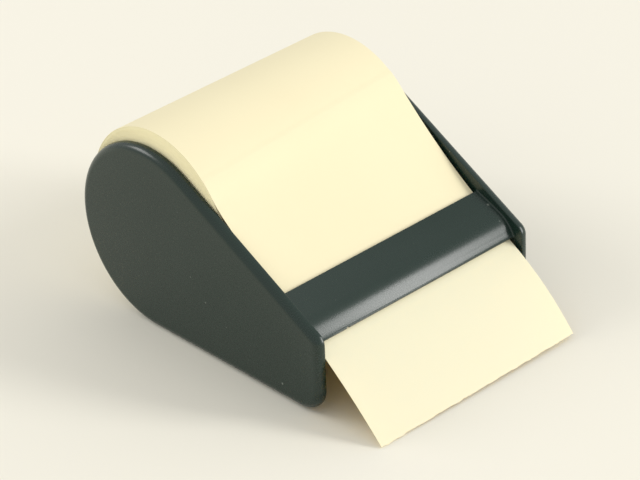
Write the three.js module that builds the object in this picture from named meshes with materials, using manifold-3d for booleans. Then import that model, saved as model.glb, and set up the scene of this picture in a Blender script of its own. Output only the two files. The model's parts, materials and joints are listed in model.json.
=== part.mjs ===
// Sticky note roll in a moulded desk dispenser.
// Units are millimetres. X runs across the roll, the paper comes out towards -Y, and +Z is up.
// The origin is on the table, in the middle of the footprint.

import * as THREE from 'three';
import { mergeVertices } from 'three/addons/utils/BufferGeometryUtils.js';
import Module from 'manifold-3d';

const wasm = await Module();
wasm.setup();

// Paper and core
const paperWidth = 60;
const paperThickness = 0.1;
const rollRadius = 22.3;
const coreBoreRadius = 12.7;
const coreWall = 1.3;
const coreInset = 0.4;
const windingGap = 0.3;
const turnBands = 11;
const turnRelief = 0.14;

// Cheeks, the two side walls
const cheekWall = 2.4;
const cheekRearRadius = 23;
const cheekReach = 54.5;
const cheekFrontHeight = 20;
const frontTopRadius = 3;
const frontBottomRadius = 6.5;
const frontFootRise = 0.5;
const rimRound = 1.9;
const clearanceLeft = 0.32;
const clearanceRight = 0.78;

// Roll axis, measured from the centre of the cheeks' rear curve
const axisForward = 1.2;
const axisRise = 4.7;

// Hub bosses that the core turns on
const hubClearance = 0.3;
const hubLength = 7;
const hubWall = 1.6;
const hubLeadIn = 0.8;
const hubRootRound = 0.7;

// Tear bar, a wedge across the front that ends in a cutting lip
const barRearSetback = 14;
const barSink = 2.3;
const barTilt = THREE.MathUtils.degToRad(22.2);
const barFrontSetback = 2.7;
const barRearEdge = 0.4;
const noseRadius = 3;
const noseDrop = 3;
const lipWidth = 0.4;
const lipRelief = 0.45;

// Floor web that ties the cheeks together under the roll
const webThickness = 2;
const webFrontSetback = 19;
const webRearOverhang = 3;
const webEdgeRound = 0.9;

// Free paper from the roll to the torn end
const stripGap = 0.3;
const leaveAngle = THREE.MathUtils.degToRad(45);
const tailReach = 17.4;
const tailFloorGap = 0.12;
const tailDrift = 0.8;
const tailRightLift = 0.75;
const tailBulgeRight = 2;
const tailBulgeLeft = 0.5;

const outlineSegments = 12;
const roundSegments = 5;
const turnSegments = 60;
const stripSteps = 12;
const stripColumns = 4;
const weld = 1;

// Derived places
const innerHalf = (paperWidth + clearanceLeft + clearanceRight) / 2;
const paperShift = (clearanceLeft - clearanceRight) / 2;
const frontY = -cheekReach;
const axis = new THREE.Vector2(-axisForward, cheekRearRadius + axisRise);
const hubRadius = coreBoreRadius - hubClearance;
const coreRadius = coreBoreRadius + coreWall;
const tailEndY = frontY - tailReach;
const originY = (tailEndY + cheekRearRadius) / 2;

// The sloping top of a cheek touches the rear curve and ends at the front corner
const corner = new THREE.Vector2(frontY, cheekFrontHeight);
const rearCentre = new THREE.Vector2(0, cheekRearRadius);
const toCentre = rearCentre.clone().sub(corner);
const slope = toCentre.angle() + Math.asin(cheekRearRadius / toCentre.length());

// Direction in the side view, turned down from level and pointing to the front
function forward(angle) {
  return new THREE.Vector2(-Math.cos(angle), -Math.sin(angle));
}

// Direction in the side view, square to forward(angle) and pointing up
function above(angle) {
  return new THREE.Vector2(-Math.sin(angle), Math.cos(angle));
}

function along(point, direction, distance) {
  return point.clone().addScaledVector(direction, distance);
}

// Point where a line from p along u meets a line from q along v
function meet(p, u, q, v) {
  const reach = q.clone().sub(p).cross(v) / u.cross(v);
  return along(p, u, reach);
}

// Bar points: top rear edge, the corner that the nose rounds off, and the cutting lip
const barRearY = frontY + barRearSetback;
const slopeAtBar = cheekFrontHeight + barRearSetback * Math.tan(slope);
const barRear = new THREE.Vector2(barRearY, slopeAtBar - barSink / Math.cos(slope));
const down = new THREE.Vector2(0, -1);
const noseY = frontY + barFrontSetback;
const noseCorner = meet(barRear, forward(barTilt), new THREE.Vector2(noseY, 0), down);
const lip = along(noseCorner, down, noseDrop);
const lipBack = new THREE.Vector2(noseY + lipWidth, lip.y);
const barUnder = along(barRear, down, barRearEdge);
const underAngle = lipBack.clone().sub(barUnder).angle() - Math.PI;

const plastic = new THREE.MeshStandardMaterial({ color: 0x3f4a46, roughness: 0.5, metalness: 0 });
const paper = new THREE.MeshStandardMaterial({ color: 0xf9f1c4, roughness: 0.85, metalness: 0 });
const board = new THREE.MeshStandardMaterial({ color: 0xb59a73, roughness: 0.9, metalness: 0 });

// Closed mesh as a solid for joining and cutting
function toSolid(geometry, matrix = new THREE.Matrix4()) {
  const bare = geometry.clone().applyMatrix4(matrix);
  bare.deleteAttribute('normal');
  bare.deleteAttribute('uv');
  const merged = mergeVertices(bare, 1e-5);
  return new wasm.Manifold(new wasm.Mesh({
    numProp: 3,
    vertProperties: new Float32Array(merged.attributes.position.array),
    triVerts: new Uint32Array(merged.index.array),
  }));
}

function toGeometry(solid) {
  const mesh = solid.getMesh();
  const geometry = new THREE.BufferGeometry();
  geometry.setAttribute('position', new THREE.BufferAttribute(new Float32Array(mesh.vertProperties), 3));
  geometry.setIndex(new THREE.BufferAttribute(new Uint32Array(mesh.triVerts), 1));
  geometry.computeVertexNormals();
  return geometry;
}

// Stands an outline drawn in the side view (Y, Z) across the object, from fromX to toX
function acrossMatrix(fromX) {
  const stand = new THREE.Matrix4().makeBasis(
    new THREE.Vector3(0, 1, 0), new THREE.Vector3(0, 0, 1), new THREE.Vector3(1, 0, 0));
  return new THREE.Matrix4().makeTranslation(fromX, 0, 0).multiply(stand);
}

function extrudeAcross(shape, fromX, toX, curveSegments = outlineSegments) {
  const depth = toX - fromX;
  const geometry = new THREE.ExtrudeGeometry(shape, { depth, bevelEnabled: false, curveSegments });
  return toSolid(geometry, acrossMatrix(fromX));
}

// Rounds one corner of an outline: straight up to it, then an arc from line to line
function roundCorner(path, before, point, after, radius) {
  const inDirection = point.clone().sub(before).normalize();
  const outDirection = after.clone().sub(point).normalize();
  const turn = Math.acos(inDirection.dot(outDirection));
  const setback = radius * Math.tan(turn / 2);
  const left = new THREE.Vector2(-inDirection.y, inDirection.x);
  const start = along(point, inDirection, -setback);
  const centre = along(start, left, radius);
  const startAngle = left.angle() + Math.PI;
  path.lineTo(start.x, start.y);
  path.absarc(centre.x, centre.y, radius, startAngle, startAngle + turn, false);
}

// Cheek outline, taken round with the solid on the left: foot, rear curve, slope, front edge.
// The foot rises a little to the front, so that the dispenser stands on its web and its rear.
function cheekShape() {
  const floorFront = new THREE.Vector2(frontY, frontFootRise);
  const floorRear = new THREE.Vector2(0, 0);
  const shape = new THREE.Shape();
  shape.moveTo(floorRear.x, floorRear.y);
  shape.absarc(rearCentre.x, rearCentre.y, cheekRearRadius, -Math.PI / 2, Math.PI / 2 + slope, false);
  const slopeStart = along(rearCentre, above(slope), cheekRearRadius);
  roundCorner(shape, slopeStart, corner, floorFront, frontTopRadius);
  roundCorner(shape, corner, floorFront, floorRear, frontBottomRadius);
  shape.closePath();
  return shape;
}

// Cheek plate with its outer rim rounded: a plate rounded on both sides, kept on one side of its middle
function cheek(side) {
  const straight = cheekWall - rimRound;
  const geometry = new THREE.ExtrudeGeometry(cheekShape(), {
    depth: 2 * straight,
    curveSegments: 2 * outlineSegments,
    bevelEnabled: true,
    bevelThickness: rimRound,
    bevelSize: rimRound,
    bevelOffset: -rimRound,
    bevelSegments: roundSegments,
  });
  const middle = side * innerHalf;
  const plate = toSolid(geometry, acrossMatrix(middle - straight));
  const keepSize = 2 * (cheekReach + cheekRearRadius);
  const keepBox = new THREE.BoxGeometry(keepSize, 2 * keepSize, 2 * keepSize);
  const keepMatrix = new THREE.Matrix4().makeTranslation(middle + side * keepSize / 2, 0, 0);
  return plate.intersect(toSolid(keepBox, keepMatrix));
}

// Wedge of the tear bar: flat top, round nose, thin lip, and a shallow relief behind the lip
function barShape() {
  const shape = new THREE.Shape();
  shape.moveTo(barUnder.x, barUnder.y);
  shape.lineTo(barRear.x, barRear.y);
  const turn = Math.PI / 2 - barTilt;
  const setback = noseRadius * Math.tan(turn / 2);
  const noseStart = along(noseCorner, forward(barTilt), -setback);
  const noseCentre = along(noseStart, above(barTilt), -noseRadius);
  shape.lineTo(noseStart.x, noseStart.y);
  shape.absarc(noseCentre.x, noseCentre.y, noseRadius, Math.PI / 2 + barTilt, Math.PI, false);
  shape.lineTo(lip.x, lip.y);
  shape.lineTo(lipBack.x, lipBack.y);
  const middle = lipBack.clone().add(barUnder).multiplyScalar(0.5);
  const relief = along(lipBack.clone().lerp(middle, 0.5), above(underAngle), 2 * lipRelief);
  shape.quadraticCurveTo(relief.x, relief.y, middle.x, middle.y);
  shape.closePath();
  return shape;
}

// Flat web level with the cheeks' feet, with round front and rear edges
function webShape() {
  const front = frontY + webFrontSetback;
  const points = [
    new THREE.Vector2(front, 0),
    new THREE.Vector2(webRearOverhang, 0),
    new THREE.Vector2(webRearOverhang, webThickness),
    new THREE.Vector2(front, webThickness),
  ];
  const shape = new THREE.Shape();
  shape.moveTo((front + webRearOverhang) / 2, 0);
  points.push(points[0]);
  for (let i = 1; i < points.length; i += 1) {
    const after = points[(i + 1) % 4];
    roundCorner(shape, points[i - 1], points[i], after, webEdgeRound);
  }
  shape.closePath();
  return shape;
}

// Open cup on the inner face of a cheek, with a flared root and a tapered lead-in for the core
function hub(side) {
  const inner = hubRadius - hubWall;
  const root = hubRadius + hubRootRound;
  const profile = new THREE.Path();
  profile.moveTo(inner, -weld);
  profile.lineTo(root, -weld);
  profile.lineTo(root, 0);
  profile.absarc(root, hubRootRound, hubRootRound, -Math.PI / 2, -Math.PI, true);
  profile.lineTo(hubRadius, hubLength - hubLeadIn);
  profile.lineTo(hubRadius - hubLeadIn / 2, hubLength);
  profile.lineTo(inner, hubLength);
  profile.lineTo(inner, -weld);
  const geometry = new THREE.LatheGeometry(profile.getPoints(2), turnSegments);
  const place = new THREE.Matrix4().makeTranslation(side * innerHalf, axis.x, axis.y);
  const turn = new THREE.Matrix4().makeRotationZ(side * Math.PI / 2);
  return toSolid(geometry, place.multiply(turn));
}

function dispenser() {
  const bar = extrudeAcross(barShape(), -innerHalf - weld, innerHalf + weld);
  const web = extrudeAcross(webShape(), -innerHalf - weld, innerHalf + weld, roundSegments);
  const body = cheek(-1).add(cheek(1)).add(bar).add(web).add(hub(-1)).add(hub(1));
  const mesh = new THREE.Mesh(toGeometry(body), plastic);
  mesh.name = 'dispenser';
  return mesh;
}

// Paperboard tube that the notes are wound on
function rollCore() {
  const half = paperWidth / 2 - coreInset;
  const edge = coreWall / 4;
  const profile = [
    new THREE.Vector2(coreBoreRadius, -half + edge),
    new THREE.Vector2(coreBoreRadius + edge, -half),
    new THREE.Vector2(coreRadius - edge, -half),
    new THREE.Vector2(coreRadius, -half + edge),
    new THREE.Vector2(coreRadius, half - edge),
    new THREE.Vector2(coreRadius - edge, half),
    new THREE.Vector2(coreBoreRadius + edge, half),
    new THREE.Vector2(coreBoreRadius, half - edge),
    new THREE.Vector2(coreBoreRadius, -half + edge),
  ];
  const mesh = new THREE.Mesh(new THREE.LatheGeometry(profile, turnSegments), board);
  mesh.name = 'roll_core';
  mesh.rotation.z = -Math.PI / 2;
  mesh.position.set(paperShift, axis.x, axis.y);
  return mesh;
}

// Wound notes as one solid. Each end face is one spiral: its ridges and valleys follow the turns,
// and die out on the bore and on the outer turn.
function noteRoll() {
  const boreRadius = coreRadius + windingGap;
  const pitch = (rollRadius - boreRadius) / turnBands;
  const lines = 2 * turnBands;
  const positions = [];
  const faces = [];

  function endPoint(side, line, step) {
    const wound = boreRadius + pitch * (line / 2 + step / turnSegments);
    const radius = THREE.MathUtils.clamp(wound, boreRadius, rollRadius);
    const onEdge = radius === boreRadius || radius === rollRadius;
    const valley = !onEdge && line % 2 !== 0;
    const angle = 2 * Math.PI * step / turnSegments;
    const depth = valley ? turnRelief : 0;
    return [side * (paperWidth / 2 - depth), radius * Math.cos(angle), radius * Math.sin(angle)];
  }

  function addPoint(point) {
    positions.push(...point);
    return positions.length / 3 - 1;
  }

  function addQuad(a, b, c, d) {
    faces.push(a, b, c, a, c, d);
  }

  for (let step = 0; step < turnSegments; step += 1) {
    for (let line = -2; line < lines; line += 1) {
      for (const side of [-1, 1]) {
        const a = addPoint(endPoint(side, line, step));
        const b = addPoint(endPoint(side, line + 1, step));
        const c = addPoint(endPoint(side, line + 1, step + 1));
        const d = addPoint(endPoint(side, line, step + 1));
        if (side > 0) addQuad(a, b, c, d);
        else addQuad(a, d, c, b);
      }
    }
    for (const line of [-2, lines]) {
      const corners = [[-1, step], [1, step], [1, step + 1], [-1, step + 1]];
      const [a, b, c, d] = corners.map(([side, at]) => addPoint(endPoint(side, line, at)));
      if (line > 0) addQuad(a, d, c, b);
      else addQuad(a, b, c, d);
    }
  }

  const mesh = new THREE.Mesh(closedGeometry(positions, faces), paper);
  mesh.name = 'note_roll';
  mesh.position.set(paperShift, axis.x, axis.y);
  return mesh;
}

// Merges equal corners and leaves out the triangles that this closes up
function closedGeometry(positions, faces) {
  const raw = new THREE.BufferGeometry();
  raw.setAttribute('position', new THREE.Float32BufferAttribute(positions, 3));
  raw.setIndex(faces);
  const merged = mergeVertices(raw, 1e-4);
  const kept = [];
  for (let i = 0; i < merged.index.count; i += 3) {
    const [a, b, c] = [0, 1, 2].map((k) => merged.index.getX(i + k));
    if (a !== b && b !== c && c !== a) kept.push(a, b, c);
  }
  merged.setIndex(kept);
  merged.computeVertexNormals();
  return merged;
}

// Side view of the free paper: off the roll, under the bar, over the lip, down to the table.
// The two long edges share the run to the lip. The right one then bows out more than the left one.
function stripPath(bulge, endLift) {
  const offset = stripGap + paperThickness / 2;
  const leave = along(axis, above(leaveAngle), rollRadius + offset);
  const underRear = along(barUnder, above(underAngle), -offset);
  const underLip = along(along(lipBack, above(underAngle), -offset), forward(underAngle), lipWidth);
  const end = new THREE.Vector2(tailEndY, tailFloorGap + paperThickness / 2 + endLift);
  const press = meet(leave, forward(leaveAngle), underRear, forward(underAngle));
  const chord = end.clone().sub(underLip);
  const bow = new THREE.Vector2(chord.y, -chord.x).normalize();
  const tailMiddle = underLip.clone().add(end).multiplyScalar(0.5).addScaledVector(bow, bulge);
  const path = new THREE.CurvePath();
  path.add(new THREE.QuadraticBezierCurve(leave, press, underRear));
  path.add(new THREE.LineCurve(underRear, underLip));
  path.add(new THREE.QuadraticBezierCurve(underLip, tailMiddle, end));
  return path;
}

// Closed body through a row of rings. A ring runs along the top of the section and back along its
// bottom, so that its first and last points are one above the other.
function loftRings(rings) {
  const size = rings[0].length;
  const faces = [];
  const quad = (a, b, c, d) => faces.push(a, b, c, a, c, d);
  for (let row = 0; row + 1 < rings.length; row += 1) {
    const near = row * size;
    const far = near + size;
    for (let k = 0; k < size; k += 1) {
      const next = (k + 1) % size;
      quad(near + k, far + k, far + next, near + next);
    }
  }
  const lastRing = (rings.length - 1) * size;
  for (let k = 0; k + 1 < size / 2; k += 1) {
    const under = size - 1 - k;
    quad(k, k + 1, under - 1, under);
    quad(lastRing + k, lastRing + under, lastRing + under - 1, lastRing + k + 1);
  }
  return closedGeometry(rings.flat(2), faces);
}

// Free paper as a thin sheet stretched between its left and right long edges. Past the lip it drifts
// a little to the left.
function noteStrip() {
  const left = stripPath(tailBulgeLeft, 0);
  const right = stripPath(tailBulgeRight, tailRightLift);
  const lastCurve = left.curves.length - 1;

  function ring(curveIndex, t) {
    const drift = curveIndex === lastCurve ? tailDrift * t * t : 0;
    const top = [];
    const bottom = [];
    for (let column = 0; column <= stripColumns; column += 1) {
      const share = column / stripColumns;
      const [a, b] = [left, right].map((path) => path.curves[curveIndex]);
      const at = a.getPoint(t).lerp(b.getPoint(t), share);
      const heading = a.getTangent(t).lerp(b.getTangent(t), share).normalize();
      const up = new THREE.Vector2(heading.y, -heading.x);
      const x = paperWidth * (share - 0.5) - drift;
      const over = along(at, up, paperThickness / 2);
      const under = along(at, up, -paperThickness / 2);
      top.push([x, over.x, over.y]);
      bottom.unshift([x, under.x, under.y]);
    }
    return [...top, ...bottom];
  }

  const rings = [ring(0, 0)];
  left.curves.forEach((curve, curveIndex) => {
    const steps = curve.isLineCurve ? 1 : stripSteps;
    for (let step = 1; step <= steps; step += 1) rings.push(ring(curveIndex, step / steps));
  });
  const mesh = new THREE.Mesh(loftRings(rings), paper);
  mesh.name = 'note_strip';
  mesh.position.x = paperShift;
  return mesh;
}

const group = new THREE.Group();
group.add(dispenser(), rollCore(), noteRoll(), noteStrip());
group.position.y = -originY;

export default group;
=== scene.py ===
"""Sticky note roll in a desk dispenser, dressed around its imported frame. Lengths are in metres."""

import json
import math

import bmesh
import bpy
from mathutils import Euler, Matrix, Vector, noise


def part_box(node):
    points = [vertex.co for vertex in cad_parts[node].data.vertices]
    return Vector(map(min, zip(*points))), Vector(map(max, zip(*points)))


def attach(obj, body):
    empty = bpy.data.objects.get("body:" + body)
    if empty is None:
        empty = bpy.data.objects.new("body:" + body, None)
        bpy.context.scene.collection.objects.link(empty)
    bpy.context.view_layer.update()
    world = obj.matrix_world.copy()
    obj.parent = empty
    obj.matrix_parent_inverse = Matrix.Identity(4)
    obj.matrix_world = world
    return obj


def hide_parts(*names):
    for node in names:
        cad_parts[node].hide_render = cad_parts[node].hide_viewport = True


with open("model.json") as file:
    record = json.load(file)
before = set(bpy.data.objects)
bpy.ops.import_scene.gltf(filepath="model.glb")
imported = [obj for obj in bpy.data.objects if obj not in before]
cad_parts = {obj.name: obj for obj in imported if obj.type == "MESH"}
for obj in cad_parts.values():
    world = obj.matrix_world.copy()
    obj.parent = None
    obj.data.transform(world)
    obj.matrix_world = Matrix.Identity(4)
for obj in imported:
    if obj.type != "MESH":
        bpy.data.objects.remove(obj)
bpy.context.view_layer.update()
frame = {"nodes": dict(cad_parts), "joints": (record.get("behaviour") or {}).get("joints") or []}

# Table, light and camera. The table is a plain warm white sheet. A tall soft light stands to the right of
# the view, a small one to the left, and the pale room fills the shade. The camera looks down on the left
# cheek and the tear bar through a long lens.
table_colour = (0.842, 0.815, 0.717)
bpy.ops.mesh.primitive_plane_add(size=6.0)
table = bpy.context.object
table.name = "table"
table_sheet = bpy.data.materials.new("table_sheet")
table_sheet.use_nodes = True
table_shader = table_sheet.node_tree.nodes["Principled BSDF"]
table_shader.inputs["Base Color"].default_value = (*table_colour, 1)
table_shader.inputs["Roughness"].default_value = 0.9
table_shader.inputs["Specular IOR Level"].default_value = 0.2
table.data.materials.append(table_sheet)

room = bpy.data.worlds.new("room")
room.use_nodes = True
room_light = room.node_tree.nodes["Background"]
room_light.inputs["Color"].default_value = (1.0, 0.995, 0.985, 1)
room_light.inputs["Strength"].default_value = 0.76
bpy.context.scene.world = room


window_colour = (1.0, 0.99, 0.97)
main_window_lean = math.radians(-19)


def add_window(name, place, size, power, lean):
    """A rectangular light that faces the middle of the object and is turned about its own axis."""
    bpy.ops.object.light_add(type="AREA", location=place)
    window = bpy.context.object
    window.name = name
    window.data.shape = "RECTANGLE"
    window.data.size, window.data.size_y = size
    window.data.energy = power
    window.data.color = window_colour
    facing = Vector(place).to_track_quat("Z", "Y").to_matrix()
    window.rotation_euler = (facing @ Matrix.Rotation(lean, 3, "Z")).to_euler()


add_window("main_window", (0.94, -1.18, 0.58), (0.42, 1.14), 17.5, main_window_lean)
add_window("side_window", (-0.46, 0.72, 0.55), (0.45, 0.30), 2.6, 0)

camera_place = (-0.463774, -0.502835, 0.440849)
camera_lens = 201.13
view_azimuth = math.radians(-42.475)
view_elevation = math.radians(31.681)
view_roll = math.radians(-2.161)
bpy.ops.object.camera_add(location=camera_place)
camera = bpy.context.object
camera.name = "camera"
look = Euler((math.radians(90) - view_elevation, 0, view_azimuth)).to_matrix()
camera.rotation_euler = (look @ Matrix.Rotation(view_roll, 3, "Z")).to_euler()
camera.data.lens = camera_lens
camera.data.sensor_width = 36.0
camera.data.clip_start = 0.01
bpy.context.scene.camera = camera
bpy.context.scene.view_settings.view_transform = "Standard"


# Dispenser: one injection moulding in dark green-grey satin plastic. Two teardrop cheeks are tied by the
# tear bar in front and a floor web under the roll, and a hub cup on each cheek carries the core. The
# mould rounds the outer rims, and small fillets run round every root.
mm = 0.001
dispenser_low, dispenser_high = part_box("dispenser")
cheek_wall = 2.4 * mm
cheek_inner = dispenser_high.x - cheek_wall
rear_radius = dispenser_high.z / 2
rear_centre = Vector((0, dispenser_high.y - rear_radius, rear_radius))
front_y = dispenser_low.y
front_height = 20 * mm
foot_rise = 0.5 * mm
front_top_radius = 3 * mm
front_bottom_radius = 6.5 * mm
rear_steps = 96
front_top_steps = 16
front_bottom_steps = 20
outer_rim = 1.9 * mm
inner_rim = 0.22 * mm
axle = Vector(frame["joints"][0]["pos_m"])
to_rear = rear_centre - Vector((0, front_y, front_height))
cheek_slope = math.atan2(to_rear.z, to_rear.y)
cheek_slope += math.asin(rear_radius / to_rear.length)


def forward(angle):
    """Direction in the side view, turned down from level and pointing to the front."""
    return Vector((0, -math.cos(angle), -math.sin(angle)))


def above(angle):
    """Direction in the side view, square to forward(angle) and pointing up."""
    return Vector((0, -math.sin(angle), math.cos(angle)))


def start_outline(name, place):
    """Opens a new mesh with a single vertex, the end that the outline grows from."""
    bpy.ops.object.select_all(action="DESELECT")
    bpy.ops.mesh.primitive_plane_add(size=1 * mm, location=place)
    piece = bpy.context.object
    piece.name = name
    bpy.ops.object.transform_apply(location=True, rotation=True, scale=True)
    bpy.ops.object.mode_set(mode="EDIT")
    bpy.ops.mesh.select_mode(type="VERT")
    bpy.ops.mesh.select_all(action="SELECT")
    bpy.ops.mesh.merge(type="CENTER")
    return place.copy()


def line_to(end, place):
    """Carries the outline straight on to a place."""
    bpy.ops.mesh.extrude_region_move(TRANSFORM_OT_translate={"value": place - end})
    return place.copy()


def arc_by(end, centre, angle, steps):
    """Carries the outline on round a centre, the way that turns +Y to +Z for a positive angle."""
    bpy.ops.mesh.spin(steps=steps, angle=-angle, center=centre, axis=(1, 0, 0))
    return centre + Matrix.Rotation(angle, 3, "X") @ (end - centre)


def round_to(end, corner, after, radius, steps):
    """Straight towards a corner of the outline, then round it by an arc from line to line."""
    heading = (corner - end).normalized()
    leaving = (after - corner).normalized()
    turn = heading.angle(leaving)
    left = Matrix.Rotation(math.radians(90), 3, "X") @ heading
    start = corner - heading * radius * math.tan(turn / 2)
    line_to(end, start)
    return arc_by(start, start + left * radius, turn, steps)


def fill_outline():
    """Closes the outline with one face."""
    bpy.ops.mesh.select_all(action="SELECT")
    bpy.ops.mesh.edge_face_add()


def pull_across(distance):
    """Pulls the filled outline along X into a solid."""
    bpy.ops.mesh.select_all(action="SELECT")
    bpy.ops.mesh.extrude_region_move(TRANSFORM_OT_translate={"value": (distance, 0, 0)})
    bpy.ops.mesh.select_all(action="SELECT")
    bpy.ops.mesh.normals_make_consistent(inside=False)


def select_edges(wanted):
    """Selects the edges for which wanted(edge) is true."""
    bpy.ops.mesh.select_all(action="DESELECT")
    bpy.ops.mesh.select_mode(type="EDGE")
    mesh = bmesh.from_edit_mesh(bpy.context.object.data)
    mesh.normal_update()
    for edge in mesh.edges:
        if wanted(edge):
            edge.select_set(True)
    bmesh.update_edit_mesh(bpy.context.object.data)


def at_x(edge, x, reach=0.01 * mm):
    """True for an edge that lies in the plane square to X at x."""
    return all(abs(vertex.co.x - x) < reach for vertex in edge.verts)


def make_cheek(side):
    """One teardrop cheek, -1 on the left and 1 on the right, drawn on its inner face."""
    inner_x = side * cheek_inner
    outer_x = side * (cheek_inner + cheek_wall)
    centre = rear_centre + Vector((inner_x, 0, 0))
    corner = Vector((inner_x, front_y, front_height))
    foot_front = Vector((inner_x, front_y, foot_rise))
    foot_rear = Vector((inner_x, rear_centre.y, 0))
    end = start_outline("cheek", foot_rear)
    end = arc_by(end, centre, math.radians(180) + cheek_slope, rear_steps)
    end = round_to(end, corner, foot_front, front_top_radius, front_top_steps)
    round_to(end, foot_front, foot_rear, front_bottom_radius, front_bottom_steps)
    fill_outline()
    pull_across(outer_x - inner_x)
    select_edges(lambda edge: at_x(edge, outer_x))
    bpy.ops.mesh.bevel(offset=outer_rim, segments=10, affect="EDGES")
    select_edges(lambda edge: at_x(edge, inner_x))
    bpy.ops.mesh.bevel(offset=inner_rim, segments=3, affect="EDGES")
    bpy.ops.object.mode_set(mode="OBJECT")
    return bpy.context.object


# Tear bar, the front bridge of the moulding: a wedge with a flat top, a round nose and a thin ridged lip
# with a small nick. The paper runs under it and is torn off upwards against the lip.
bar_rear_setback = 14 * mm
bar_sink = 2.3 * mm
bar_tilt = math.radians(22.2)
nose_setback = 2.7 * mm
nose_radius = 8.5 * mm
nose_drop = 3 * mm
nose_steps = 16
lip_width = 0.4 * mm
lip_top_setback = 0.06 * mm
lip_top_height = 0.70 * mm
ridge_reach = 0.18 * mm
ridge_height = 0.34 * mm
lip_relief = 0.45 * mm
relief_steps = 6
bar_rear_edge = 0.4 * mm
nick_x = -21.2 * mm
nick_size = (0.8 * mm, 1.1 * mm, 0.9 * mm)
weld = 0.6 * mm
bar_rear_z = front_height + bar_rear_setback * math.tan(cheek_slope) - bar_sink / math.cos(cheek_slope)
bar_rear = Vector((0, front_y + bar_rear_setback, bar_rear_z))
nose_y = front_y + nose_setback
nose_corner = Vector((0, nose_y, bar_rear_z - (bar_rear.y - nose_y) * math.tan(bar_tilt)))
lip_front = nose_corner - Vector((0, 0, nose_drop))
lip_back = lip_front + Vector((0, lip_width, 0))
lip_top = lip_front + Vector((0, lip_top_setback, lip_top_height))
lip_groove = lip_top + Vector((0, 0.08 * mm, -0.06 * mm))
lip_ridge = lip_front + Vector((0, -ridge_reach, ridge_height))
nose_depth = (nose_corner - lip_top).dot(above(bar_tilt))
nose_turn = math.acos(1 - nose_depth / nose_radius)
nose_length = nose_radius * math.sin(nose_turn)
nose_start = lip_top + above(bar_tilt) * nose_depth - forward(bar_tilt) * nose_length
bar_under = bar_rear - Vector((0, 0, bar_rear_edge))
under_angle = math.atan2(bar_under.z - lip_back.z, bar_under.y - lip_back.y)


def make_bar():
    """The bar drawn in the side view and pulled from cheek to cheek, a little into each."""
    across = Vector((-cheek_inner - weld, 0, 0))
    middle = (lip_back + bar_under) / 2
    pull = lip_back.lerp(middle, 0.5) + above(under_angle) * 2 * lip_relief
    end = start_outline("tear_bar", across + bar_under)
    end = line_to(end, across + bar_rear)
    end = line_to(end, across + nose_start)
    end = arc_by(end, end - above(bar_tilt) * nose_radius, nose_turn, nose_steps)
    end = line_to(end, across + lip_groove)
    end = line_to(end, across + lip_ridge)
    end = line_to(end, across + lip_front)
    end = line_to(end, across + lip_back)
    for step in range(1, relief_steps + 1):
        t = step / relief_steps
        curve = lip_back * (1 - t) ** 2 + pull * 2 * t * (1 - t) + middle * t ** 2
        end = line_to(end, across + curve)
    fill_outline()
    pull_across(2 * (cheek_inner + weld))
    bpy.ops.object.mode_set(mode="OBJECT")
    return bpy.context.object


def nick_lip(bar):
    """Takes the small chip out of the lip, near its left end."""
    bpy.ops.object.select_all(action="DESELECT")
    bpy.ops.mesh.primitive_cube_add(size=1, location=lip_front + Vector((nick_x, 0, 0)))
    chip = bpy.context.object
    chip.scale = nick_size
    bpy.ops.object.transform_apply(location=True, rotation=True, scale=True)
    cut = bar.modifiers.new("nick", "BOOLEAN")
    cut.operation = "DIFFERENCE"
    cut.solver = "EXACT"
    cut.object = chip
    bpy.ops.object.select_all(action="DESELECT")
    bar.select_set(True)
    bpy.context.view_layer.objects.active = bar
    bpy.ops.object.modifier_apply(modifier=cut.name)
    bpy.data.objects.remove(chip)
    return bar


# Floor web, hidden under the roll: it ties the cheeks, and the dispenser stands on it.
web_thickness = 2 * mm
web_front = front_y + 19 * mm
web_rear = rear_centre.y + 3 * mm
web_edge = 0.9 * mm


def make_web():
    """A flat plate from cheek to cheek with rounded long edges."""
    bpy.ops.object.select_all(action="DESELECT")
    middle = Vector((0, (web_front + web_rear) / 2, web_thickness / 2))
    bpy.ops.mesh.primitive_cube_add(size=1, location=middle)
    web = bpy.context.object
    web.scale = (2 * (cheek_inner + weld), web_rear - web_front, web_thickness)
    bpy.ops.object.transform_apply(location=True, rotation=True, scale=True)
    bpy.ops.object.mode_set(mode="EDIT")
    select_edges(lambda edge: abs(edge.verts[0].co.x - edge.verts[1].co.x) > cheek_inner)
    bpy.ops.mesh.bevel(offset=web_edge, segments=6, affect="EDGES")
    bpy.ops.object.mode_set(mode="OBJECT")
    return web


# Hub cups: a short open cup on the inner face of each cheek, with a tapered lead-in, that the core
# turns on.
core_bore = 12.7 * mm
hub_play = 0.3 * mm
hub_radius = core_bore - hub_play
hub_wall = 1.6 * mm
hub_length = 7 * mm
hub_lead_in = 0.8 * mm
round_steps = 96


def make_hub(side):
    """The wall of one cup, drawn as a section and spun round the axle."""
    inner_x = side * cheek_inner
    start = axle + Vector((inner_x + side * weld, 0, hub_radius - hub_wall))
    end = start_outline("hub", start)
    inward = Vector((-side, 0, 0))
    outward = Vector((0, 0, 1))
    rim = start + inward * (hub_length + weld)
    end = line_to(end, rim)
    end = line_to(end, rim + outward * (hub_wall - hub_lead_in / 2))
    end = line_to(end, rim + outward * hub_wall - inward * hub_lead_in)
    end = line_to(end, start + outward * hub_wall)
    bpy.ops.mesh.select_all(action="SELECT")
    bpy.ops.mesh.edge_face_add()
    bpy.ops.mesh.delete(type="ONLY_FACE")
    bpy.ops.mesh.select_all(action="SELECT")
    bpy.ops.mesh.spin(steps=round_steps, angle=math.radians(360), center=axle, axis=(1, 0, 0))
    bpy.ops.mesh.select_all(action="SELECT")
    bpy.ops.mesh.remove_doubles(threshold=0.001 * mm)
    bpy.ops.mesh.normals_make_consistent(inside=False)
    bpy.ops.object.mode_set(mode="OBJECT")
    return bpy.context.object


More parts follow.
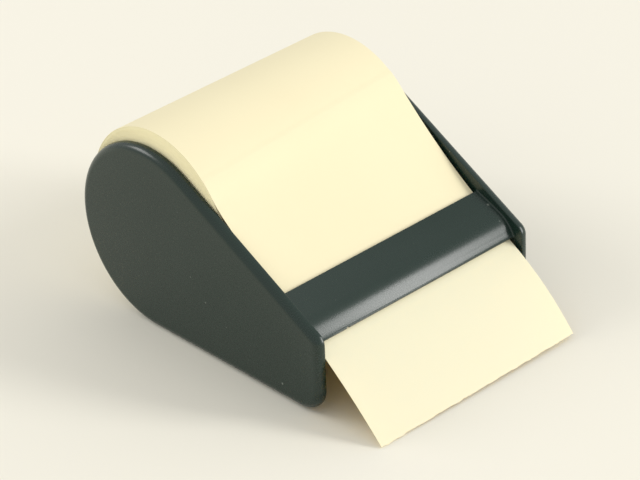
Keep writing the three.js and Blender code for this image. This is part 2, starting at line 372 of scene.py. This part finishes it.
def join_solids(base, others):
    """Fuses the solids into the first one, as one shot of plastic."""
    for other in others:
        union = base.modifiers.new("union", "BOOLEAN")
        union.operation = "UNION"
        union.solver = "EXACT"
        union.object = other
        bpy.ops.object.select_all(action="DESELECT")
        base.select_set(True)
        bpy.context.view_layer.objects.active = base
        bpy.ops.object.modifier_apply(modifier=union.name)
        bpy.data.objects.remove(other)
    return base


def is_root(edge):
    """True for an inside corner where something grows out of a cheek's inner face."""
    on_face = at_x(edge, cheek_inner) or at_x(edge, -cheek_inner)
    return on_face and len(edge.link_faces) == 2 and not edge.is_convex


tear_bar = nick_lip(make_bar())
moulding = join_solids(make_cheek(-1), [make_cheek(1), tear_bar, make_web(), make_hub(-1), make_hub(1)])
moulding.name = "dispenser_moulding"
root_fillet = 0.35 * mm
bpy.ops.object.mode_set(mode="EDIT")
bpy.ops.mesh.select_all(action="SELECT")
bpy.ops.mesh.remove_doubles(threshold=0.0005 * mm)
select_edges(is_root)
bpy.ops.mesh.bevel(offset=root_fillet, segments=4, affect="EDGES")
bpy.ops.mesh.select_all(action="SELECT")
bpy.ops.mesh.remove_doubles(threshold=0.002 * mm)
bpy.ops.object.mode_set(mode="OBJECT")
bpy.ops.object.shade_smooth_by_angle(angle=math.radians(32))

plastic = bpy.data.materials.new("dispenser_plastic")
plastic.use_nodes = True
# Each speck on the bar: how far right of the middle, and how far down from the rear edge.
bar_specks = ((29.8 * mm, 4.5 * mm), (28.9 * mm, 9.5 * mm))
speck_radius = 0.2 * mm


def node_kit(material):
    """Short ways to add and wire the nodes of one material."""
    tree = material.node_tree

    def add(kind, **settings):
        node = tree.nodes.new("ShaderNode" + kind)
        for key, value in settings.items():
            if hasattr(node, key):
                setattr(node, key, value)
            else:
                node.inputs[key.replace("_", " ").title()].default_value = value
        return node

    def wire(source, target):
        tree.links.new(source, target)

    return tree.nodes["Principled BSDF"], add, wire


def finish_plastic():
    """Fine moulded grain, a faint cloudiness in the tone, and a few pale specks of dust."""
    shader, add, wire = node_kit(plastic)
    place = add("TexCoord").outputs["Object"]
    cloud = add("TexNoise", Scale=55.0, Detail=3.0, Roughness=0.55)
    tone = add("Mix", data_type="RGBA")
    tone.inputs["A"].default_value = (0.005, 0.019, 0.013, 1)
    tone.inputs["B"].default_value = (0.010, 0.026, 0.019, 1)
    wire(place, cloud.inputs["Vector"])
    wire(cloud.outputs["Fac"], tone.inputs["Factor"])
    dust = add("TexNoise", Scale=900.0, Detail=1.0, Roughness=0.3)
    dust_mask = add("MapRange")
    dust_mask.inputs["From Min"].default_value = 0.83
    dust_mask.inputs["From Max"].default_value = 0.86
    dust_mask.inputs["To Max"].default_value = 0.5
    dusty = add("Mix", data_type="RGBA")
    dusty.inputs["B"].default_value = (0.30, 0.33, 0.29, 1)
    wire(place, dust.inputs["Vector"])
    wire(dust.outputs["Fac"], dust_mask.inputs["Value"])
    specks = dust_mask.outputs["Result"]
    for across, down in bar_specks:
        spot = bar_rear + Vector((across, 0, 0)) + forward(bar_tilt) * down
        away = add("VectorMath", operation="DISTANCE")
        away.inputs[1].default_value = spot
        dot = add("MapRange")
        dot.inputs["From Min"].default_value = 2 * speck_radius
        dot.inputs["From Max"].default_value = speck_radius
        dot.inputs["To Max"].default_value = 0.4
        both = add("Math", operation="MAXIMUM")
        wire(place, away.inputs[0])
        wire(away.outputs["Value"], dot.inputs["Value"])
        wire(dot.outputs["Result"], both.inputs[0])
        wire(specks, both.inputs[1])
        specks = both.outputs["Value"]
    wire(specks, dusty.inputs["Factor"])
    wire(tone.outputs["Result"], dusty.inputs["A"])
    wire(dusty.outputs["Result"], shader.inputs["Base Color"])
    grain = add("TexNoise", Scale=2600.0, Detail=2.0, Roughness=0.6)
    sheen = add("MapRange")
    sheen.inputs["To Min"].default_value = 0.22
    sheen.inputs["To Max"].default_value = 0.32
    wire(place, grain.inputs["Vector"])
    wire(grain.outputs["Fac"], sheen.inputs["Value"])
    wire(sheen.outputs["Result"], shader.inputs["Roughness"])
    bump = add("Bump", Strength=0.35, Distance=0.02 * mm)
    wire(grain.outputs["Fac"], bump.inputs["Height"])
    wire(bump.outputs["Normal"], shader.inputs["Normal"])


finish_plastic()
moulding.data.materials.clear()
moulding.data.materials.append(plastic)
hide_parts("dispenser")
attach(moulding, "dispenser")


# Core: a spiral-wound paperboard tube, bare and greyish tan. It turns on the two hub cups and is hidden
# by the notes that are wound on it.
board = bpy.data.materials.new("core_board")
board.use_nodes = True


def finish_board():
    """Grey-tan board with short fibres and the slanting seam of the wound strip."""
    shader, add, wire = node_kit(board)
    place = add("TexCoord").outputs["Object"]
    fibres = add("TexNoise", Scale=900.0, Detail=4.0, Roughness=0.7)
    tone = add("Mix", data_type="RGBA")
    tone.inputs["A"].default_value = (0.40, 0.29, 0.175, 1)
    tone.inputs["B"].default_value = (0.52, 0.39, 0.25, 1)
    wire(place, fibres.inputs["Vector"])
    wire(fibres.outputs["Fac"], tone.inputs["Factor"])
    wire(tone.outputs["Result"], shader.inputs["Base Color"])
    slant = add("Mapping")
    slant.inputs["Rotation"].default_value = (0, 0, math.radians(35))
    seam = add("TexWave", bands_direction="X", Scale=14.0, Distortion=0.4)
    bump = add("Bump", Strength=0.5, Distance=0.08 * mm)
    wire(place, slant.inputs["Vector"])
    wire(slant.outputs["Vector"], seam.inputs["Vector"])
    wire(seam.outputs["Fac"], bump.inputs["Height"])
    wire(bump.outputs["Normal"], shader.inputs["Normal"])
    shader.inputs["Roughness"].default_value = 0.9


finish_board()
core = frame["nodes"]["roll_core"]
core.data.materials.clear()
core.data.materials.append(board)


# Wound notes: thin pale yellow paper wound tight on the core, about eighty turns. The long surface is
# smooth, and on the end faces the edges of the turns stand slightly uneven.
roll_low, roll_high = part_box("note_roll")
roll_half = (roll_high.x - roll_low.x) / 2
paper_middle = (roll_high.x + roll_low.x) / 2
roll_radius = (roll_high.z - roll_low.z) / 2 - 0.05 * mm
bore_radius = 14.3 * mm
shown_turns = 40
turn_pitch = (roll_radius - bore_radius) / shown_turns
turn_unevenness = 0.07 * mm
gap_depth = 0.9 * turn_unevenness
rim_ease = 0.03 * mm
wander = 0.05 * mm
wander_across = 1.6 * mm
wander_round = 14 * mm
roll_steps = 200


def turn_edge(turn, side):
    """How far the edges of one turn stand back from the end face, the same on each run."""
    return turn_unevenness * abs(noise.noise(Vector((turn * 1.73, side * 7.1, 0.4))))


def end_face(side):
    """Radius and set-back of the points along one end face, from the bore out to the rim."""
    points = [(bore_radius, 0)]
    for turn in range(shown_turns):
        inner = bore_radius + turn * turn_pitch
        back = turn_edge(turn, side)
        points.append((inner + 0.25 * turn_pitch, back))
        points.append((inner + 0.75 * turn_pitch, back))
        points.append((inner + turn_pitch, gap_depth))
    points[-1] = (roll_radius, rim_ease)
    return points


def make_roll():
    """The section of the wound paper, drawn from bore to bore over the rim and spun round the axle."""
    centre = Vector((paper_middle, axle.y, axle.z))
    left_face = [(-1, radius, back) for radius, back in end_face(-1)]
    right_face = [(1, radius, back) for radius, back in reversed(end_face(1))]
    section = [centre + Vector((side * (roll_half - back), 0, radius))
               for side, radius, back in left_face + right_face]
    end = start_outline("wound_notes", section[0])
    for place in section[1:]:
        end = line_to(end, place)
    bpy.ops.mesh.select_all(action="SELECT")
    bpy.ops.mesh.edge_face_add()
    bpy.ops.mesh.delete(type="ONLY_FACE")
    bpy.ops.mesh.select_all(action="SELECT")
    bpy.ops.mesh.spin(steps=roll_steps, angle=math.radians(360), center=centre, axis=(1, 0, 0))
    bpy.ops.mesh.select_all(action="SELECT")
    bpy.ops.mesh.remove_doubles(threshold=0.0005 * mm)
    bpy.ops.mesh.normals_make_consistent(inside=False)
    bpy.ops.object.mode_set(mode="OBJECT")
    roll = bpy.context.object
    margin = 0.2 * turn_pitch
    for vertex in roll.data.vertices:
        from_axle = vertex.co - centre
        radius = math.hypot(from_axle.y, from_axle.z)
        if bore_radius + margin < radius < roll_radius - margin:
            spot = Vector((radius / wander_across, from_axle.y / wander_round, from_axle.z / wander_round))
            vertex.co.x -= math.copysign(wander, from_axle.x) * abs(noise.noise(spot))
    return roll


roll = make_roll()
bpy.ops.object.shade_smooth_by_angle(angle=math.radians(40))

note_paper = bpy.data.materials.new("note_paper")
note_paper.use_nodes = True
cut_edges = bpy.data.materials.new("cut_paper_edges")
cut_edges.use_nodes = True
free_paper_front = lip_front.y + 1.0 * mm
free_paper_fade = 2.5 * mm


def finish_paper():
    """Smooth uncoated paper. Where it hangs free in front of the bar, light comes through it warm, and its
    base colour is painted lighter there: painted light on the tail.
    """
    shader, add, wire = node_kit(note_paper)
    place = add("TexCoord").outputs["Object"]
    cloud = add("TexNoise", Scale=38.0, Detail=2.0, Roughness=0.5)
    tone = add("Mix", data_type="RGBA")
    tone.inputs["A"].default_value = (0.835, 0.755, 0.508, 1)
    tone.inputs["B"].default_value = (0.855, 0.785, 0.538, 1)
    wire(place, cloud.inputs["Vector"])
    wire(cloud.outputs["Fac"], tone.inputs["Factor"])
    shader.inputs["Roughness"].default_value = 0.75
    shader.inputs["Specular IOR Level"].default_value = 0.25
    fibres = add("TexNoise", Scale=1500.0, Detail=3.0, Roughness=0.6)
    bump = add("Bump", Strength=0.12, Distance=0.02 * mm)
    wire(place, fibres.inputs["Vector"])
    wire(fibres.outputs["Fac"], bump.inputs["Height"])
    wire(bump.outputs["Normal"], shader.inputs["Normal"])
    through = add("BsdfTranslucent")
    through.inputs["Color"].default_value = (1.0, 0.74, 0.12, 1)
    spot = add("SeparateXYZ")
    hanging = add("MapRange")
    hanging.inputs["From Min"].default_value = free_paper_front
    hanging.inputs["From Max"].default_value = free_paper_front - free_paper_fade
    # Painted light: the hanging paper's base colour is mixed towards a lighter yellow than the wound
    # paper's, as painted brightness on the tail.
    painted_tail_light = add("Mix", data_type="RGBA")
    painted_tail_light.inputs["B"].default_value = (0.97, 0.975, 0.765, 1)
    share = add("Math", operation="MULTIPLY")
    share.inputs[1].default_value = 0.28
    blend = add("MixShader")
    wire(place, spot.inputs["Vector"])
    wire(spot.outputs["Y"], hanging.inputs["Value"])
    wire(hanging.outputs["Result"], painted_tail_light.inputs["Factor"])
    wire(tone.outputs["Result"], painted_tail_light.inputs["A"])
    wire(painted_tail_light.outputs["Result"], shader.inputs["Base Color"])
    wire(hanging.outputs["Result"], share.inputs[0])
    wire(share.outputs["Value"], blend.inputs["Fac"])
    wire(shader.outputs["BSDF"], blend.inputs[1])
    wire(through.outputs["BSDF"], blend.inputs[2])
    output = note_paper.node_tree.nodes["Material Output"]
    wire(blend.outputs["Shader"], output.inputs["Surface"])


def finish_cut_edges():
    """Edges of the turns: fine rings round the axle with a bump. The two yellows are lighter than the
    wound paper's face, as painted light on the end faces, and the darker rings, at random radii, are
    painted shade for the gaps between turns.
    """
    shader, add, wire = node_kit(cut_edges)
    place = add("TexCoord").outputs["Object"]
    centred = add("Mapping")
    centred.inputs["Location"].default_value = (0, -axle.y, -axle.z)
    flat = add("Mapping")
    flat.inputs["Scale"].default_value = (0, 1, 1)
    reach = add("VectorMath", operation="LENGTH")
    rings_and_painted_shade = add("TexNoise", noise_dimensions="1D", Scale=6000.0, Detail=3.0, Roughness=0.6)
    # Painted light and shade: both yellows are lighter than the face paper's, and the darker rings are
    # painted shade standing for the gaps between turns.
    tone = add("Mix", data_type="RGBA")
    tone.inputs["A"].default_value = (0.88, 0.80, 0.50, 1)
    tone.inputs["B"].default_value = (0.95, 0.89, 0.60, 1)
    bump = add("Bump", Strength=0.4, Distance=0.04 * mm)
    wire(place, centred.inputs["Vector"])
    wire(centred.outputs["Vector"], flat.inputs["Vector"])
    wire(flat.outputs["Vector"], reach.inputs["Vector"])
    wire(reach.outputs["Value"], rings_and_painted_shade.inputs["W"])
    wire(rings_and_painted_shade.outputs["Fac"], tone.inputs["Factor"])
    wire(tone.outputs["Result"], shader.inputs["Base Color"])
    wire(rings_and_painted_shade.outputs["Fac"], bump.inputs["Height"])
    wire(bump.outputs["Normal"], shader.inputs["Normal"])
    shader.inputs["Roughness"].default_value = 0.9


finish_paper()
finish_cut_edges()
roll.data.materials.clear()
roll.data.materials.append(note_paper)
roll.data.materials.append(cut_edges)
for face in roll.data.polygons:
    face.material_index = 1 if abs(face.normal.x) > 0.3 else 0
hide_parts("note_roll")
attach(roll, "roll")


# Free paper: the outer turn leaves the roll, dips under the tear bar, slides over its lip and curls down
# to the table. Its end is torn against the lip, so the edge is slightly ragged, and the right side bows
# out more than the left.
strip_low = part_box("note_strip")[0]
paper_thickness = 0.1 * mm
leave_angles = (math.radians(54), math.radians(46))
lap_angle = math.radians(12)
feather = math.radians(2.5)
roll_clearance = 0.02 * mm
strip_gap = 0.3 * mm
lip_shade = 0.12 * mm
tail_end_y = strip_low.y + 0.1 * mm
tail_floor_gap = 0.12 * mm
tail_right_lift = 0.75 * mm
tail_drift = 0.8 * mm
tail_bulges = (0.5 * mm, 2.0 * mm)
tear_depth = 0.35 * mm
tear_start = 3.9
tear_lift = Vector((0, 0.62, 0.78))
coarse_tear = 40
fine_tear = 170
columns = 120
rows = 160


def leave_at(share):
    """Angle at which the paper leaves the roll, from its left side (0) to its right side (1)."""
    return leave_angles[0] + (leave_angles[1] - leave_angles[0]) * share


def arc_point(angle):
    """Place in the side view on the middle of the paper where it lies on the roll."""
    radius = roll_radius + roll_clearance + paper_thickness / 2
    return Vector((0, axle.y, axle.z)) + above(angle) * radius


def curve_point(first, pull, last, t):
    """Place at t, from 0 to 1, on the curve from first to last that leans towards pull."""
    return first * (1 - t) ** 2 + pull * 2 * t * (1 - t) + last * t ** 2


def strip_side(share, t):
    """Place in the side view at t along the paper, 0 on the roll to 4 at the torn end."""
    offset = strip_gap + paper_thickness / 2
    leave_angle = leave_at(share)
    leave = arc_point(leave_angle)
    under_rear = bar_under - above(under_angle) * offset
    under_lip = lip_back - above(under_angle) * (offset + lip_shade) + forward(under_angle) * lip_width
    if t < 1:
        return arc_point(leave_angle - lap_angle * (1 - t))
    if t < 2:
        run = under_rear - leave
        lean = above(under_angle)
        reach = run.dot(lean) / forward(leave_angle).dot(lean)
        return curve_point(leave, leave + forward(leave_angle) * reach, under_rear, t - 1)
    if t < 3:
        return under_rear.lerp(under_lip, t - 2)
    end = Vector((0, tail_end_y, tail_floor_gap + paper_thickness / 2 + tail_right_lift * share))
    chord = end - under_lip
    bow = Vector((0, chord.z, -chord.y)).normalized()
    bulge = tail_bulges[0] + (tail_bulges[1] - tail_bulges[0]) * share
    return curve_point(under_lip, (under_lip + end) / 2 + bow * bulge, end, t - 3)


def make_strip():
    """A flat grid laid along the paper's course, given its thickness, torn and feathered."""
    bpy.ops.object.select_all(action="DESELECT")
    bpy.ops.mesh.primitive_grid_add(x_subdivisions=columns, y_subdivisions=rows, size=1)
    strip = bpy.context.object
    strip.name = "free_paper"
    for vertex in strip.data.vertices:
        share = vertex.co.x + 0.5
        t = 4 * (0.5 - vertex.co.y)
        place = strip_side(share, t)
        drift = tail_drift * max(t - 3, 0) ** 2
        place.x = paper_middle + (share - 0.5) * 2 * roll_half - drift
        if t > tear_start:
            ragged = noise.noise(Vector((share * coarse_tear, 0.3, 0)))
            ragged += 0.8 * noise.noise(Vector((share * fine_tear, 2.3, 0)))
            near_end = (t - tear_start) / (4 - tear_start)
            place += tear_lift * tear_depth * (0.5 + 0.5 * ragged) * near_end
        vertex.co = place
    solidify = strip.modifiers.new("thickness", "SOLIDIFY")
    solidify.thickness = paper_thickness
    solidify.offset = 0
    bpy.ops.object.modifier_apply(modifier=solidify.name)
    under_face = roll_radius + roll_clearance
    for vertex in strip.data.vertices:
        from_axle = vertex.co - Vector((vertex.co.x, axle.y, axle.z))
        share = (vertex.co.x - paper_middle) / (2 * roll_half) + 0.5
        start = leave_at(share) - lap_angle
        lapped = math.atan2(-from_axle.y, from_axle.z) - start
        if lapped < feather and from_axle.z > 0:
            kept = max(lapped / feather, 0.1)
            radius = under_face + (from_axle.length - under_face) * kept
            vertex.co += from_axle.normalized() * (radius - from_axle.length)
    bpy.ops.object.mode_set(mode="EDIT")
    bpy.ops.mesh.select_all(action="SELECT")
    bpy.ops.mesh.normals_make_consistent(inside=False)
    bpy.ops.object.mode_set(mode="OBJECT")
    return strip


strip = make_strip()
bpy.ops.object.shade_smooth_by_angle(angle=math.radians(40))
strip.data.materials.clear()
strip.data.materials.append(note_paper)
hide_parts("note_strip")
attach(strip, "dispenser")
